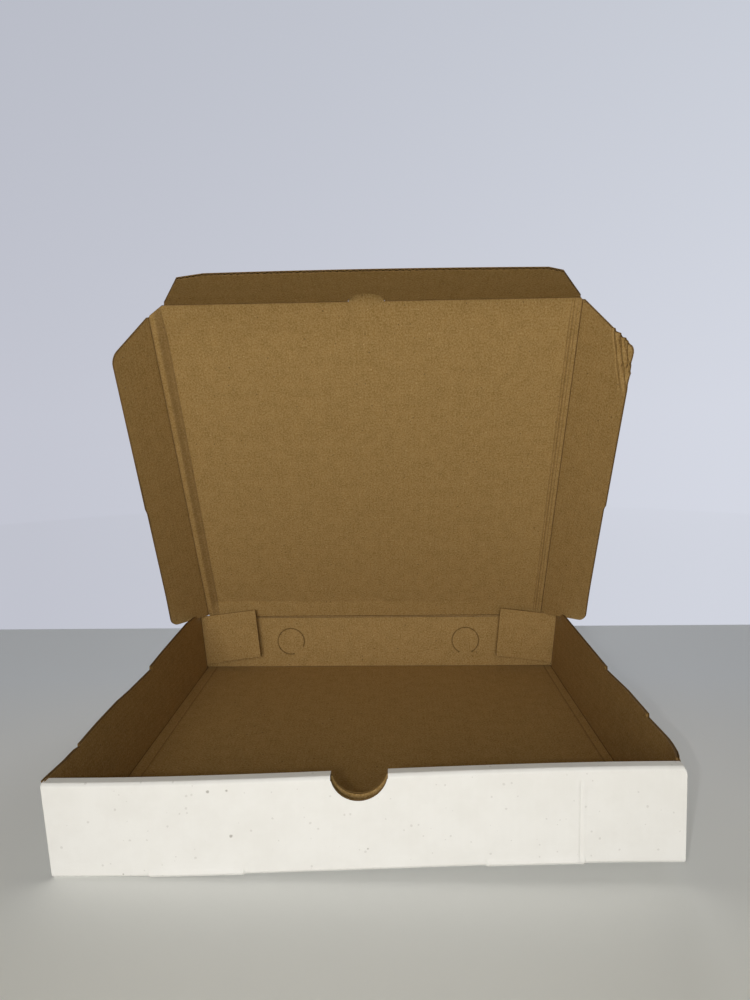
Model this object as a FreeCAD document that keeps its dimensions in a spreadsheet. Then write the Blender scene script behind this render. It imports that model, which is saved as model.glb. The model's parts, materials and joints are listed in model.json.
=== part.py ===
import FreeCAD, Part
import math
import os
import Sketcher

# A small pizza box folded from one die-cut sheet of fine corrugated board, shown with its lid up.
# The origin lies under the middle of the tray, +X to the right, +Y to the rear, +Z up, in millimetres.
# Panels that turn on a crease are bodies of their own, drawn flat and then placed at their fold.

DRIVING_SIZES = {
    "box_width": 250.0,          # across the tray, at its floor
    "box_depth": 242.0,          # front wall to rear wall
    "wall_height": 40.0,
    "board": 1.6,                # thickness of the corrugated board
    "wall_flare": 5.0,           # degrees that each side wall leans out
    "fold_gap": 0.3,             # running clearance at a crease
    "fold_radius": 1.2,          # outside of the tray's sharp folds
    "front_depth": 7.0,          # thickness of the doubled front wall
    "roll_inset": 3.0,           # the rolled-over panel stops short of each side
    "corner_tab_length": 40.0,   # hidden tabs inside the front wall
    "corner_tab_inset": 1.0,     # room above and below a hidden tab
    "lock_spacing": 134.0,       # between the middles of the two lock tabs
    "lock_width": 39.0,
    "lip_out": 0.5,              # the slots' lips stand proud of the front
    "lip_height": 2.2,
    "notch_radius": 11.3,        # finger notch in the front wall
    "notch_rise": 1.0,           # its centre above the wall's top
    "notch_offset": -1.6,
    "vent_spacing": 125.2,
    "vent_height": 20.4,
    "vent_radius": 9.5,
    "vent_cut": 0.5,             # width of the cut round a vent
    "vent_left_nick": -50.0,     # where the uncut nick lies, degrees from +X
    "vent_right_nick": -90.0,
    "vent_nick_span": 50.0,
    "hinge_height": 39.1,
    "lid_opening": 63.0,         # degrees up from closed
    "lid_front_clearance": 12.0, # the lid is this much shorter than the tray
    "lid_side_clearance": 5.9,   # each side crease lies this far inside the tray's side
    "lid_offset": -2.8,          # the lid sits a little to the left
    "score_inset": 5.6,          # second score inside each side crease
    "score_width": 1.2,
    "score_depth": 0.4,
    "tongue_radius": 9.7,
    "tongue_offset": 2.0,
    "front_flap_fold": 49.0,
    "front_flap_width": 34.5,
    "front_flap_slant": 16.3,    # its ends slant in by this much, to a clipped corner
    "front_flap_left_clip": 14.5,
    "front_flap_right_clip": 8.0,
    "front_flap_clip": 3.5,
    "corner_cut_in": 9.9,        # the lid's left front corner is cut off by this much
    "corner_cut_back": 7.0,
    "left_flap_width": 33.0,
    "right_flap_width": 35.0,
    "left_flap_taper": 1.6,      # its front is narrower by this much
    "flap_root": 3.0,            # side flap starts this far from the lid's hinge
    "flap_rear": 18.0,           # its rear corner, from the lid's hinge
    "flap_rear_round": 8.0,
    "flap_front": 20.0,          # its front corner, back from the lid's front
    "flap_front_round": 8.0,
    "left_flap_fold": 60.0,
    "right_flap_fold": 48.0,
    "tab_gap": 1.4,              # rear tab to rear wall, at the crease
    "tab_round": 0.5,            # inside of a rear tab's crease
    "tab_swing": 8.0,            # degrees that a rear tab stands off the wall
    "tab_length": 40.5,
    "tab_height": 35.0,
    "tab_lift": 3.0,             # above the floor at the crease
    "tab_skew": 1.6,             # its free end sits this much higher
}

doc = FreeCAD.newDocument("PizzaBox")
sheet = doc.addObject("Spreadsheet::Sheet", "Sizes")
for row, (alias, number) in enumerate(DRIVING_SIZES.items(), start=1):
    sheet.set(f"A{row}", alias.replace("_", " "))
    sheet.set(f"B{row}", str(number))
    sheet.setAlias(f"B{row}", alias)
doc.recompute()


class Size:
    """A length or angle as a number and as the sheet expression that gives it."""

    def __init__(self, value, text):
        self.value = value
        self.text = text

    def join(self, other, sign, value):
        text = other.text if isinstance(other, Size) else str(other)
        return Size(value, f"({self.text} {sign} {text})")

    def __add__(self, other):
        return self.join(other, "+", self.value + number_of(other))

    def __sub__(self, other):
        return self.join(other, "-", self.value - number_of(other))

    def __mul__(self, other):
        return self.join(other, "*", self.value * number_of(other))

    def __truediv__(self, other):
        return self.join(other, "/", self.value / number_of(other))

    def __neg__(self):
        return self * -1


def number_of(size):
    return size.value if isinstance(size, Size) else size


def named(alias):
    return Size(float(sheet.get(alias)), f"Sizes.{alias}")


def sine(angle):
    return Size(math.sin(math.radians(angle.value)), f"sin({angle.text} * 1 deg)")


def cosine(angle):
    return Size(math.cos(math.radians(angle.value)), f"cos({angle.text} * 1 deg)")


def tangent(angle):
    return Size(math.tan(math.radians(angle.value)), f"tan({angle.text} * 1 deg)")


def bind(thing, name, size):
    """Set one property from a size and keep it tied to the sheet."""
    thing.setExpression(name, size.text)


def new_body(label):
    body = doc.addObject("PartDesign::Body", label)
    body.Label = label
    return body


def new_sketch(body, name, plane, shift=None):
    """A sketch on one of the body's own planes, moved along the plane's normal."""
    sketch = body.newObject("Sketcher::SketchObject", name)
    found = [item for item in body.Origin.OriginFeatures if item.Role == plane]
    sketch.AttachmentSupport = [(found[0], "")]
    sketch.MapMode = "FlatFace"
    if shift is not None:
        bind(sketch, ".AttachmentOffset.Base.z", shift)
    return sketch


def place_point(sketch, curve, end, across, along):
    """Tie one point of a curve to the sketch's origin by two sizes."""
    for kind, size in (("DistanceX", across), ("DistanceY", along)):
        index = sketch.addConstraint(
            Sketcher.Constraint(kind, -1, 1, curve, end, size.value))
        bind(sketch, f"Constraints[{index}]", size)


def add_polygon(sketch, points):
    """A closed outline whose corners are pairs of sizes."""
    vectors = [FreeCAD.Vector(across.value, along.value, 0) for across, along in points]
    curves = []
    for start, end in zip(vectors, vectors[1:] + vectors[:1]):
        curves.append(sketch.addGeometry(Part.LineSegment(start, end), False))
    for curve, following in zip(curves, curves[1:] + curves[:1]):
        sketch.addConstraint(Sketcher.Constraint("Coincident", curve, 2, following, 1))
    for curve, (across, along) in zip(curves, points):
        place_point(sketch, curve, 1, across, along)


def add_circle(sketch, across, along, radius):
    centre = FreeCAD.Vector(across.value, along.value, 0)
    circle = Part.Circle(centre, FreeCAD.Vector(0, 0, 1), radius.value)
    curve = sketch.addGeometry(circle, False)
    place_point(sketch, curve, 3, across, along)
    index = sketch.addConstraint(Sketcher.Constraint("Radius", curve, radius.value))
    bind(sketch, f"Constraints[{index}]", radius)


def add_pad(body, name, sketch, length):
    """Thicken a sketch evenly to both sides of its plane."""
    pad = body.newObject("PartDesign::Pad", name)
    pad.Profile = sketch
    pad.Midplane = True
    bind(pad, "Length", length)
    doc.recompute()
    return pad


def add_pocket(body, name, sketch, reverse, length=None):
    """Cut a sketch into the body, and check that it took something away."""
    before = body.Shape.Volume
    pocket = body.newObject("PartDesign::Pocket", name)
    pocket.Profile = sketch
    pocket.Reversed = reverse
    if length is None:
        pocket.Type = "ThroughAll"
    else:
        bind(pocket, "Length", length)
    doc.recompute()
    if body.Shape.Volume >= before:
        raise RuntimeError(name + " cuts nothing")
    return pocket


def add_round(body, name, base, radius, chosen):
    """Round the straight edges whose middle point passes a test."""
    edges = []
    for number, edge in enumerate(base.Shape.Edges, start=1):
        middle = edge.valueAt((edge.FirstParameter + edge.LastParameter) / 2)
        direction = edge.tangentAt(edge.FirstParameter)
        if edge.Curve.TypeId == "Part::GeomLine" and chosen(middle, direction, edge.Length):
            edges.append(f"Edge{number}")
    if not edges:
        raise RuntimeError(name + " finds no edge")
    fillet = body.newObject("PartDesign::Fillet", name)
    fillet.Base = (base, edges)
    bind(fillet, "Radius", radius)
    doc.recompute()
    return fillet


def near(a, b):
    return abs(a - number_of(b)) < 0.01


def turned(axis, angle):
    """A turn about a named axis, as a sheet expression."""
    vectors = {"x": "vector(1; 0; 0)", "y": "vector(0; 1; 0)", "z": "vector(0; 0; 1)"}
    return f"rotation({vectors[axis]}; {angle.text})"


def placed(x, y, z, turn):
    return f"placement(vector({x.text}; {y.text}; {z.text}); {turn})"


NONE = Size(0.0, "0")
board = named("board")
half_width = named("box_width") / 2
half_depth = named("box_depth") / 2
height = named("wall_height")
flare = named("wall_flare")
fold_gap = named("fold_gap")
crease_nose = board * 0.49
child_start = board / 2 + fold_gap
hinge_y = half_depth - board / 2
hinge_z = named("hinge_height")
tab_front = half_depth - board * 2 - named("tab_gap")


def build_tray():
    """The sheet's fixed part: floor, four walls, hidden corner tabs and the lock."""
    body = new_body("tray")
    front = -half_depth
    rear_top = hinge_z + board / 2

    strip = new_sketch(body, "FloorFrontRearProfile", "YZ_Plane")
    add_polygon(strip, [
        (front, NONE), (half_depth, NONE), (half_depth, rear_top),
        (half_depth - board, rear_top), (half_depth - board, board),
        (front + board, board), (front + board, height - board), (front, height - board),
    ])
    feature = add_pad(body, "FloorFrontRear", strip, half_width * 2)
    feature = add_round(
        body, "RearCreaseNose", feature, crease_nose,
        lambda mid, way, length: abs(way.x) > 0.9 and near(mid.z, rear_top))
    feature = add_round(
        body, "BottomFolds", feature, named("fold_radius"),
        lambda mid, way, length: abs(way.x) > 0.9 and near(mid.z, 0))

    roll = new_sketch(body, "RolledPanelProfile", "YZ_Plane")
    panel_back = front + named("front_depth")
    panel_front = panel_back - board
    add_polygon(roll, [
        (front, height - board), (front, height), (panel_back, height),
        (panel_back, board + fold_gap), (panel_front, board + fold_gap),
        (panel_front, height - board),
    ])
    roll_width = (half_width - named("roll_inset")) * 2
    feature = add_pad(body, "RolledPanel", roll, roll_width)
    add_round(
        body, "TopFolds", feature, named("fold_radius"),
        lambda mid, way, length: abs(way.x) > 0.9 and near(mid.z, height))

    side_front = front + board + fold_gap
    side_rear = tab_front + board
    lean = tangent(flare) * height
    across_board = board / cosine(flare)
    walls = new_sketch(body, "SideWallProfiles", "XZ_Plane", -(side_front + side_rear) / 2)
    for side in (1, -1):
        add_polygon(walls, [
            (half_width * side, NONE), ((half_width + lean) * side, height),
            ((half_width + lean - across_board) * side, height),
            ((half_width - across_board) * side, NONE),
        ])
    add_pad(body, "SideWalls", walls, side_rear - side_front)

    tabs = new_sketch(body, "FrontCornerTabs", "XZ_Plane", -(side_front + board / 2))
    inset = named("corner_tab_inset")
    for side in (1, -1):
        low, high = board + inset, height - board - inset
        add_polygon(tabs, [
            ((half_width - named("corner_tab_length")) * side, low),
            ((half_width - across_board + tangent(flare) * low) * side, low),
            ((half_width - across_board + tangent(flare) * high) * side, high),
            ((half_width - named("corner_tab_length")) * side, high),
        ])
    add_pad(body, "CornerTabs", tabs, board)

    for side, name in ((1, "Right"), (-1, "Left")):
        middle = named("lock_spacing") / 2 * side
        half_lock = named("lock_width") / 2
        lock = new_sketch(body, name + "LockTab", "XZ_Plane", -(panel_back - board / 2))
        add_polygon(lock, [
            (middle - half_lock, board / 2), (middle + half_lock, board / 2),
            (middle + half_lock, height / 2), (middle - half_lock, height / 2),
        ])
        add_pad(body, name + "Lock", lock, board)
        lip = new_sketch(body, name + "LipOutline", "XZ_Plane",
                         -(front - named("lip_out") + board / 2))
        add_polygon(lip, [
            (middle - half_lock, NONE), (middle + half_lock, NONE),
            (middle + half_lock, named("lip_height")), (middle - half_lock, named("lip_height")),
        ])
        add_pad(body, name + "Lip", lip, board)

    notch = new_sketch(body, "FingerNotchOutline", "XZ_Plane")
    add_circle(notch, named("notch_offset"), height + named("notch_rise"), named("notch_radius"))
    add_pocket(body, "FingerNotch", notch, True)
    for side, name in ((-1, "left"), (1, "right")):
        cut_vent(body, name, named("vent_spacing") / 2 * side, named(f"vent_{name}_nick"))
    return body


def cut_vent(body, name, across, nick):
    """A round vent that is cut but not pushed out, held by one uncut nick."""
    sketch = new_sketch(body, name.capitalize() + "VentOutline", "XZ_Plane")
    along = named("vent_height")
    half_nick = named("vent_nick_span") / 2
    centre = FreeCAD.Vector(across.value, along.value, 0)
    start, end = nick + half_nick, nick - half_nick
    radii = (named("vent_radius"), named("vent_radius") - named("vent_cut"))
    arcs = []
    for radius in radii:
        circle = Part.Circle(centre, FreeCAD.Vector(0, 0, 1), radius.value)
        first, last = math.radians(start.value), math.radians(end.value + 360)
        arc = sketch.addGeometry(Part.ArcOfCircle(circle, first, last), False)
        for point, angle in ((1, start), (2, end)):
            place_point(sketch, arc, point, across + radius * cosine(angle),
                        along + radius * sine(angle))
        index = sketch.addConstraint(Sketcher.Constraint("Radius", arc, radius.value))
        bind(sketch, f"Constraints[{index}]", radius)
        arcs.append(arc)
    for point, angle in ((1, start), (2, end)):
        ends = [
            centre + FreeCAD.Vector(math.cos(math.radians(angle.value)),
                                    math.sin(math.radians(angle.value)), 0) * radius.value
            for radius in radii
        ]
        line = sketch.addGeometry(Part.LineSegment(*ends), False)
        sketch.addConstraint(Sketcher.Constraint("Coincident", line, 1, arcs[0], point))
        sketch.addConstraint(Sketcher.Constraint("Coincident", line, 2, arcs[1], point))
    add_pocket(body, name.capitalize() + "Vent", sketch, False)


lid_length = named("box_depth") - named("lid_front_clearance")
lid_half = half_width - named("lid_side_clearance")
lid_place = placed(named("lid_offset"), hinge_y, hinge_z,
                   turned("x", Size(180.0, "180") - named("lid_opening")))


def build_lid_panel():
    """The lid's main panel, drawn from its hinge along +Y with its inside towards +Z."""
    body = new_body("lid_panel")
    side = lid_half + board / 2
    end = lid_length + board / 2
    outline = new_sketch(body, "PanelOutline", "XY_Plane")
    cut = lid_length - named("corner_cut_back")
    add_polygon(outline, [
        (-side, child_start), (side, child_start), (side, end),
        (named("corner_cut_in") - lid_half, end), (-side, cut),
    ])
    feature = add_pad(body, "Panel", outline, board)
    add_round(
        body, "CreaseNoses", feature, crease_nose,
        lambda mid, way, length: abs(way.z) < 0.1 and (
            near(abs(mid.x), side) or near(mid.y, end)))

    scores = new_sketch(body, "SecondScores", "XY_Plane", board / 2)
    middle = lid_half - named("score_inset")
    half_score = named("score_width") / 2
    for sign in (1, -1):
        add_polygon(scores, [
            ((middle - half_score) * sign, child_start + board),
            ((middle + half_score) * sign, child_start + board),
            ((middle + half_score) * sign, cut - board),
            ((middle - half_score) * sign, cut - board),
        ])
    add_pocket(body, "Scores", scores, False, named("score_depth"))

    tongue = new_sketch(body, "TongueOutline", "XY_Plane")
    add_circle(tongue, named("tongue_offset"), lid_length, named("tongue_radius"))
    add_pad(body, "Tongue", tongue, board)
    body.setExpression("Placement", lid_place)
    return body


def build_front_flap():
    """The tuck flap along the lid's front crease, with a half-moon hole for the tongue."""
    body = new_body("lid_front_flap")
    width = named("front_flap_width")
    right = lid_half - fold_gap * 4
    left = named("corner_cut_in") - lid_half + fold_gap
    slant = named("front_flap_slant")
    clipped = width - named("front_flap_clip")
    outline = new_sketch(body, "FlapOutline", "XY_Plane")
    add_polygon(outline, [
        (left, child_start), (right, child_start), (right - slant, clipped),
        (right - slant - named("front_flap_right_clip"), width),
        (left + slant + named("front_flap_left_clip"), width), (left + slant, clipped),
    ])
    add_pad(body, "Flap", outline, board)
    hole = new_sketch(body, "TongueHoleOutline", "XY_Plane", -board)
    add_circle(hole, named("tongue_offset"), NONE, named("tongue_radius") + fold_gap)
    add_pocket(body, "TongueHole", hole, True)
    body.setExpression("Placement", " * ".join([
        lid_place, placed(NONE, lid_length, NONE, turned("x", named("front_flap_fold")))]))
    return body


def build_side_flap(label, side):
    """A side flap of the lid, slanted at both ends, with a rounded rear corner."""
    body = new_body(label)
    width = named("left_flap_width") if side < 0 else named("right_flap_width")
    front = lid_length - named("flap_front")
    front_width = width - named("left_flap_taper") if side < 0 else width
    root = lid_length - (named("corner_cut_back") if side < 0 else fold_gap * 4)
    outline = new_sketch(body, "FlapOutline", "XY_Plane")
    add_polygon(outline, [
        (child_start * side, named("flap_root")), (width * side, named("flap_rear")),
        (front_width * side, front), (child_start * side, root),
    ])
    feature = add_pad(body, "Flap", outline, board)
    feature = add_round(
        body, "RearCorner", feature, named("flap_rear_round"),
        lambda mid, way, length: abs(way.z) > 0.9 and near(mid.y, named("flap_rear")))
    add_round(
        body, "FrontCorner", feature, named("flap_front_round"),
        lambda mid, way, length: abs(way.z) > 0.9 and near(mid.y, front))
    fold = named("left_flap_fold") if side < 0 else -named("right_flap_fold")
    body.setExpression("Placement", " * ".join([
        lid_place, placed(lid_half * side, NONE, NONE, turned("y", fold))]))
    return body


def build_rear_tab(label, side):
    """A tab on the rear end of a side wall, folded in along the rear wall and left loose."""
    body = new_body(label)
    low = board + named("tab_lift")
    high = low + named("tab_height")
    length = named("tab_length")
    skew = named("tab_skew")
    turn = named("tab_round")
    outline = new_sketch(body, "TabOutline", "XZ_Plane", turn - board / 2)
    add_polygon(outline, [
        (turn * side, low), (turn * side, high),
        (-length * side, high + skew), (-length * side, low + skew),
    ])
    feature = add_pad(body, "Tab", outline, board)
    add_round(
        body, "CreaseRound", feature, turn,
        lambda mid, way, length: near(mid.x, turn * side) and near(mid.y, -turn))
    axis_x = (half_width - board / cosine(flare) - fold_gap - turn) * side
    body.setExpression("Placement", " * ".join([
        placed(axis_x, tab_front + turn, NONE, turned("y", flare * side)),
        placed(NONE, NONE, NONE, turned("z", named("tab_swing") * side))]))
    return body


subparts = [
    build_tray(),
    build_lid_panel(),
    build_front_flap(),
    build_side_flap("lid_left_flap", -1),
    build_side_flap("lid_right_flap", 1),
    build_rear_tab("rear_tab_left", -1),
    build_rear_tab("rear_tab_right", 1),
]
doc.recompute()

for item in doc.Objects:
    if "Invalid" in item.State or "Error" in item.State:
        raise RuntimeError(f"{item.Label} failed: {item.State}")
os.makedirs("parts", exist_ok=True)
for body in subparts:
    shape = body.Shape
    if shape.isNull() or not shape.isValid() or len(shape.Solids) != 1:
        raise RuntimeError(body.Label + " is not one sound solid")
    shape.exportStep(os.path.join("parts", body.Label + ".step"))
    print(body.Label, round(shape.Volume), "mm3", len(shape.Faces), "faces")
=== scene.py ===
import json
import math

import bpy
from mathutils import Matrix, Vector


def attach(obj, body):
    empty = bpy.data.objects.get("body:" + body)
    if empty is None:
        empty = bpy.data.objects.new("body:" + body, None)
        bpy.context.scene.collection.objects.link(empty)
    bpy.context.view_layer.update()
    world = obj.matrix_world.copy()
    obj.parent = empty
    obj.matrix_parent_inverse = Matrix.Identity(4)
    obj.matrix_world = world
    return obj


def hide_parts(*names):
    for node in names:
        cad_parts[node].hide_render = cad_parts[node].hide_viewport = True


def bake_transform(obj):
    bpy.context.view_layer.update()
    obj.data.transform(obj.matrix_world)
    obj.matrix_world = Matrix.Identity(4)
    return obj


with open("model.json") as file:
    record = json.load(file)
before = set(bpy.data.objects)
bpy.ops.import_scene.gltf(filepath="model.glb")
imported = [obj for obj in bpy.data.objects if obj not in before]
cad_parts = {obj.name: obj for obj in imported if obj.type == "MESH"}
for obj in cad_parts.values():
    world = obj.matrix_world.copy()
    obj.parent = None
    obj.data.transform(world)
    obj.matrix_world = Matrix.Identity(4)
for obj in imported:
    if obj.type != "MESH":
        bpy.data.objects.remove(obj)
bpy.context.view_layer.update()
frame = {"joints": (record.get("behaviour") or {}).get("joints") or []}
joints = {joint["name"]: joint for joint in frame["joints"]}
MM = 0.001


# Tray
# Floor, side and rear walls, the doubled front wall with its two lock tabs, and the two tabs it hides:
# one sheet cut and creased flat, then folded. It is white paper, a wavy medium and brown kraft.
BOARD = 1.6 * MM
LINER = 0.26 * MM
MEDIUM = 0.2 * MM
FLUTE_PITCH = 3.3 * MM
STEPS_PER_FLUTE = 6
WHITE_PAPER = (0.80, 0.785, 0.745)
WHITE_SHADE = (0.775, 0.758, 0.715)
GREY_FLECK = (0.25, 0.22, 0.18)
KRAFT = (0.285, 0.165, 0.045)
KRAFT_DARK = (0.23, 0.13, 0.029)
KRAFT_FLECK = (0.085, 0.045, 0.018)
KRAFT_PALE = (0.60, 0.425, 0.20)
# The medium's brown, darkened with painted shade for the cut edges and the flutes' hollows
MEDIUM_AND_EDGE_SHADE_BROWN = (0.17, 0.10, 0.042)
# Painted shade: the kraft darkens towards this brown in creases and scores
SCORE_SHADE_BROWN = (0.115, 0.060, 0.020)
FINE_SPECKS, LARGE_SPECKS = 0.2, 0.62
FLUTE_STRIPES, PALE_FIBRES = 0.012, 0.44
DARK_FLECKS, PALE_FLECKS = 0.6, 0.45
# How dark the painted shade is along the middle of a crease
CREASE_SHADE = 0.85
ON_PLANE = 1e-6


def new_group(name, inputs, outputs):
    """A shader node group with float inputs and outputs, and a vector to look the pattern up by."""
    group = bpy.data.node_groups.new(name, "ShaderNodeTree")
    group.interface.new_socket("Vector", in_out="INPUT", socket_type="NodeSocketVector")
    for socket, value in inputs.items():
        made = group.interface.new_socket(socket, in_out="INPUT", socket_type="NodeSocketFloat")
        made.default_value = value
    for socket in outputs:
        group.interface.new_socket(socket, in_out="OUTPUT", socket_type="NodeSocketFloat")
    return group, group.nodes.new("NodeGroupInput"), group.nodes.new("NodeGroupOutput")


def math_node(nodes, links, operation, first, second=None, clamp=False):
    node = nodes.new("ShaderNodeMath")
    node.operation = operation
    node.use_clamp = clamp
    for slot, value in ((0, first), (1, second)):
        if value is None:
            continue
        if isinstance(value, (int, float)):
            node.inputs[slot].default_value = value
        else:
            links.new(value, node.inputs[slot])
    return node.outputs[0]


def make_fibre_group():
    """Paper fibres: soft mottling, short fibres, and height from both with the flutes' ridges."""
    group, given, result = new_group(
        "paper_fibres", {"Cloud Size": 9.0, "Flute Ridge": 0.5}, ("Cloud", "Fibre", "Ridge", "Height"))
    nodes, links = group.nodes, group.links
    cloud = nodes.new("ShaderNodeTexNoise")
    cloud.inputs["Detail"].default_value = 5.0
    cloud.inputs["Roughness"].default_value = 0.62
    links.new(given.outputs["Vector"], cloud.inputs["Vector"])
    scale = math_node(nodes, links, "DIVIDE", 1 / MM, given.outputs["Cloud Size"])
    links.new(scale, cloud.inputs["Scale"])
    stretch = nodes.new("ShaderNodeMapping")
    stretch.inputs["Scale"].default_value = (1.0, 0.8, 1.0)
    links.new(given.outputs["Vector"], stretch.inputs["Vector"])
    fibre = nodes.new("ShaderNodeTexNoise")
    fibre.inputs["Scale"].default_value = 1.15 / MM
    fibre.inputs["Detail"].default_value = 4.0
    fibre.inputs["Roughness"].default_value = 0.7
    links.new(stretch.outputs["Vector"], fibre.inputs["Vector"])
    split = nodes.new("ShaderNodeSeparateXYZ")
    links.new(given.outputs["Vector"], split.inputs[0])
    turn = math_node(nodes, links, "MULTIPLY", split.outputs["X"], 2 * math.pi / FLUTE_PITCH)
    ridge = math_node(nodes, links, "SINE", turn)
    links.new(cloud.outputs["Fac"], result.inputs["Cloud"])
    links.new(fibre.outputs["Fac"], result.inputs["Fibre"])
    links.new(ridge, result.inputs["Ridge"])
    rough = math_node(nodes, links, "MULTIPLY", fibre.outputs["Fac"], 0.6)
    lifted = math_node(nodes, links, "MULTIPLY", ridge, given.outputs["Flute Ridge"])
    links.new(math_node(nodes, links, "ADD", rough, lifted), result.inputs["Height"])
    return group


def make_fleck_group():
    """Scattered specks of a chosen size: one cell in some holds a speck, and the rest are bare."""
    group, given, result = new_group(
        "paper_flecks", {"Cell": 3.0, "Share": 0.4, "Size": 0.12}, ("Mask",))
    nodes, links = group.nodes, group.links
    bend = nodes.new("ShaderNodeTexNoise")
    bend.inputs["Scale"].default_value = 1.2 / MM
    links.new(given.outputs["Vector"], bend.inputs["Vector"])
    shift = nodes.new("ShaderNodeVectorMath")
    shift.operation = "SCALE"
    shift.inputs["Scale"].default_value = 0.5 * MM
    links.new(bend.outputs["Color"], shift.inputs[0])
    bent = nodes.new("ShaderNodeVectorMath")
    links.new(given.outputs["Vector"], bent.inputs[0])
    links.new(shift.outputs[0], bent.inputs[1])
    cells = nodes.new("ShaderNodeTexVoronoi")
    links.new(bent.outputs[0], cells.inputs["Vector"])
    links.new(math_node(nodes, links, "DIVIDE", 1 / MM, given.outputs["Cell"]), cells.inputs["Scale"])
    pick = nodes.new("ShaderNodeSeparateColor")
    links.new(cells.outputs["Color"], pick.inputs[0])
    chosen = math_node(nodes, links, "LESS_THAN", pick.outputs[0], given.outputs["Share"])
    reach = math_node(nodes, links, "MULTIPLY", pick.outputs[1], given.outputs["Size"])
    inside = math_node(nodes, links, "SUBTRACT", reach, cells.outputs["Distance"])
    soft = math_node(nodes, links, "MULTIPLY", inside, 30.0, clamp=True)
    links.new(math_node(nodes, links, "MULTIPLY", soft, chosen), result.inputs["Mask"])
    return group


FIBRES = make_fibre_group()
FLECKS = make_fleck_group()


def place_group(material, group, **values):
    node = material.node_tree.nodes.new("ShaderNodeGroup")
    node.node_tree = group
    for name, value in values.items():
        node.inputs[name.replace("_", " ")].default_value = value
    return node


def mix_colour(material, factor, first, second):
    """The first colour where the factor is 0 and the second where it is 1."""
    node = material.node_tree.nodes.new("ShaderNodeMix")
    node.data_type = "RGBA"
    links = material.node_tree.links
    links.new(factor, node.inputs["Factor"])
    for socket, value in (("A", first), ("B", second)):
        target = [item for item in node.inputs if item.name == socket and item.type == "RGBA"][0]
        if isinstance(value, tuple):
            target.default_value = (*value, 1.0)
        else:
            links.new(value, target)
    return [item for item in node.outputs if item.type == "RGBA"][0]


def new_paper(name, roughness):
    """A matt paper whose patterns follow the flat sheet that the box was cut from."""
    material = bpy.data.materials.new(name)
    material.use_nodes = True
    shader = material.node_tree.nodes["Principled BSDF"]
    shader.inputs["Roughness"].default_value = roughness
    shader.inputs["Specular IOR Level"].default_value = 0.25
    sheet = material.node_tree.nodes.new("ShaderNodeAttribute")
    sheet.attribute_name = "sheet"
    return material, shader, sheet.outputs["Vector"]


def spread(material, value, low, high):
    """A value between low and high stretched to 0 to 1."""
    node = material.node_tree.nodes.new("ShaderNodeMapRange")
    node.inputs["From Min"].default_value = low
    node.inputs["From Max"].default_value = high
    material.node_tree.links.new(value, node.inputs["Value"])
    return node.outputs["Result"]


def bump(material, shader, height, distance):
    node = material.node_tree.nodes.new("ShaderNodeBump")
    node.inputs["Distance"].default_value = distance
    node.inputs["Strength"].default_value = 1.0
    material.node_tree.links.new(height, node.inputs["Height"])
    material.node_tree.links.new(node.outputs["Normal"], shader.inputs["Normal"])


def make_white_liner():
    """Bleached recycled paper: warm white with faint clouds and scattered grey specks."""
    material, shader, sheet = new_paper("white_liner", 0.62)
    nodes, links = material.node_tree.nodes, material.node_tree.links
    fibres = place_group(material, FIBRES, Cloud_Size=16.0, Flute_Ridge=0.3)
    fine = place_group(material, FLECKS, Cell=2.6, Share=0.45, Size=0.24)
    large = place_group(material, FLECKS, Cell=9.0, Share=0.45, Size=0.11)
    for group in (fibres, fine, large):
        links.new(sheet, group.inputs["Vector"])
    cloudy = mix_colour(material, spread(material, fibres.outputs["Cloud"], 0.38, 0.6),
                        WHITE_SHADE, WHITE_PAPER)
    faint = math_node(nodes, links, "MULTIPLY", fine.outputs["Mask"], FINE_SPECKS)
    specked = mix_colour(material, faint, cloudy, GREY_FLECK)
    strong = math_node(nodes, links, "MULTIPLY", large.outputs["Mask"], LARGE_SPECKS)
    links.new(mix_colour(material, strong, specked, GREY_FLECK), shader.inputs["Base Color"])
    bump(material, shader, fibres.outputs["Height"], 0.035 * MM)
    return material


def make_kraft_liner():
    """Brown kraft: finely mottled, with dark and pale fibres, and faint stripes over the flutes."""
    material, shader, sheet = new_paper("kraft_liner", 0.8)
    nodes, links = material.node_tree.nodes, material.node_tree.links
    fibres = place_group(material, FIBRES, Cloud_Size=7.0, Flute_Ridge=0.3)
    dark = place_group(material, FLECKS, Cell=2.8, Share=0.36, Size=0.19)
    pale = place_group(material, FLECKS, Cell=3.0, Share=0.34, Size=0.17)
    for group in (fibres, dark, pale):
        links.new(sheet, group.inputs["Vector"])
    ground = mix_colour(material, spread(material, fibres.outputs["Cloud"], 0.34, 0.66),
                        KRAFT_DARK, KRAFT)
    stripe = math_node(nodes, links, "MULTIPLY", fibres.outputs["Ridge"], FLUTE_STRIPES)
    hairs = spread(material, fibres.outputs["Fibre"], 0.36, 0.68)
    hair = math_node(nodes, links, "MULTIPLY", hairs, PALE_FIBRES)
    tone = math_node(nodes, links, "ADD", hair, stripe, clamp=True)
    haired = mix_colour(material, tone, ground, KRAFT_PALE)
    darkened = math_node(nodes, links, "MULTIPLY", dark.outputs["Mask"], DARK_FLECKS)
    flecked = mix_colour(material, darkened, haired, KRAFT_FLECK)
    lit = math_node(nodes, links, "MULTIPLY", pale.outputs["Mask"], PALE_FLECKS)
    plain = mix_colour(material, lit, flecked, KRAFT_PALE)
    # Painted shade in creases and scores, held in the score attribute
    score = nodes.new("ShaderNodeAttribute")
    score.attribute_name = "score"
    links.new(mix_colour(material, score.outputs["Fac"], plain, SCORE_SHADE_BROWN),
              shader.inputs["Base Color"])
    bump(material, shader, fibres.outputs["Height"], 0.06 * MM)
    return material


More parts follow.
